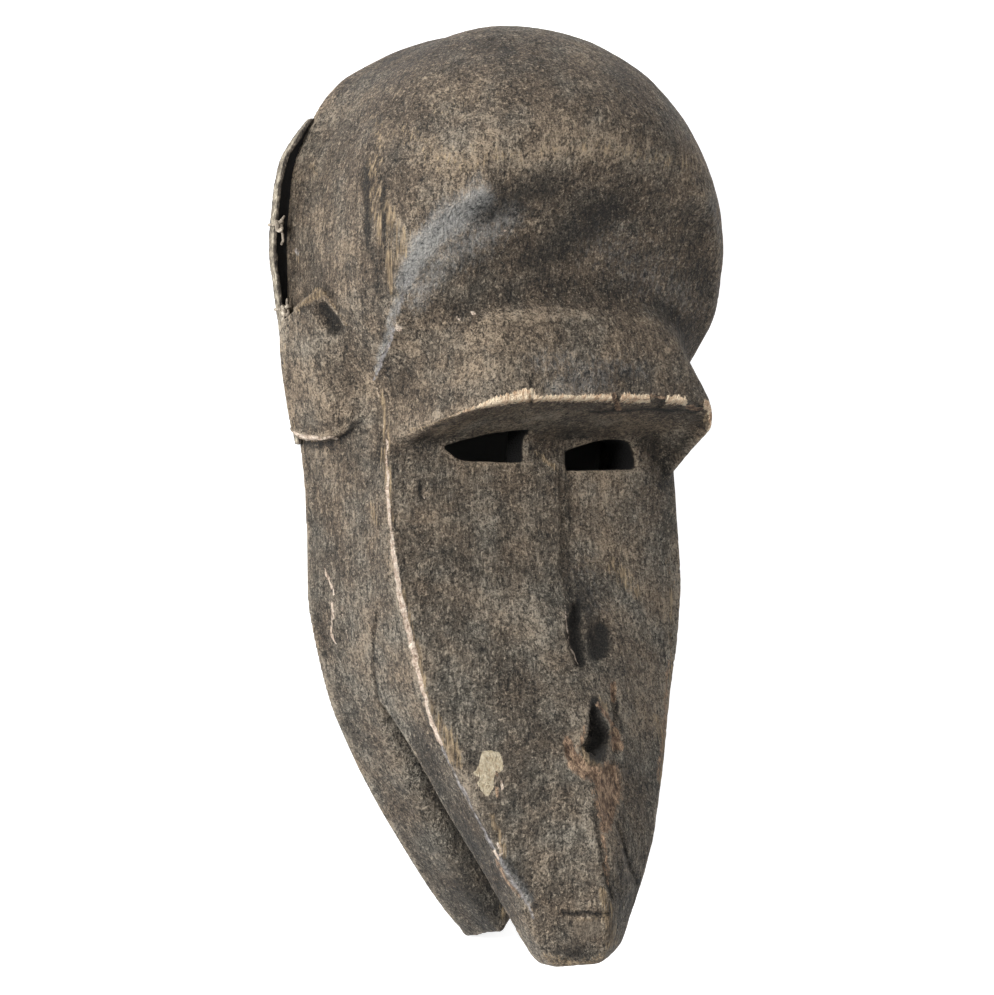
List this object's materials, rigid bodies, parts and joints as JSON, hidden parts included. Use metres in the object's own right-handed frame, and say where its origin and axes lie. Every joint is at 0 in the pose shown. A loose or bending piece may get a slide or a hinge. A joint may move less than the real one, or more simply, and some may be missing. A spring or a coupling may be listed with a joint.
{
  "type": "carved animal mask",
  "caption": "Carved wooden hyena mask with a domed head, jutting brow, eye holes, a long snout over a shorter lower jaw, and a strip of hide along the rim.",
  "frame": {"origin": "middle of the length and width of the whole object, in the plane of the back rim that it lies on", "axes": "+Y towards the crown, -Y towards the tip of the snout, +Z out of the face, +X to the right seen from the front"},
  "size_m": [0.21, 0.4358, 0.134],
  "materials": {
    "carved_wood": "worn dark patina, matte",
    "hide": "dry raw hide, matte",
    "thong": "dry thong, matte"
  },
  "bodies": {
    "root": {"mask": "carved_wood", "hide_strip": "hide", "thong_knot_upper": "thong", "thong_knot_lower": "thong"}
  },
  "joints": []
}
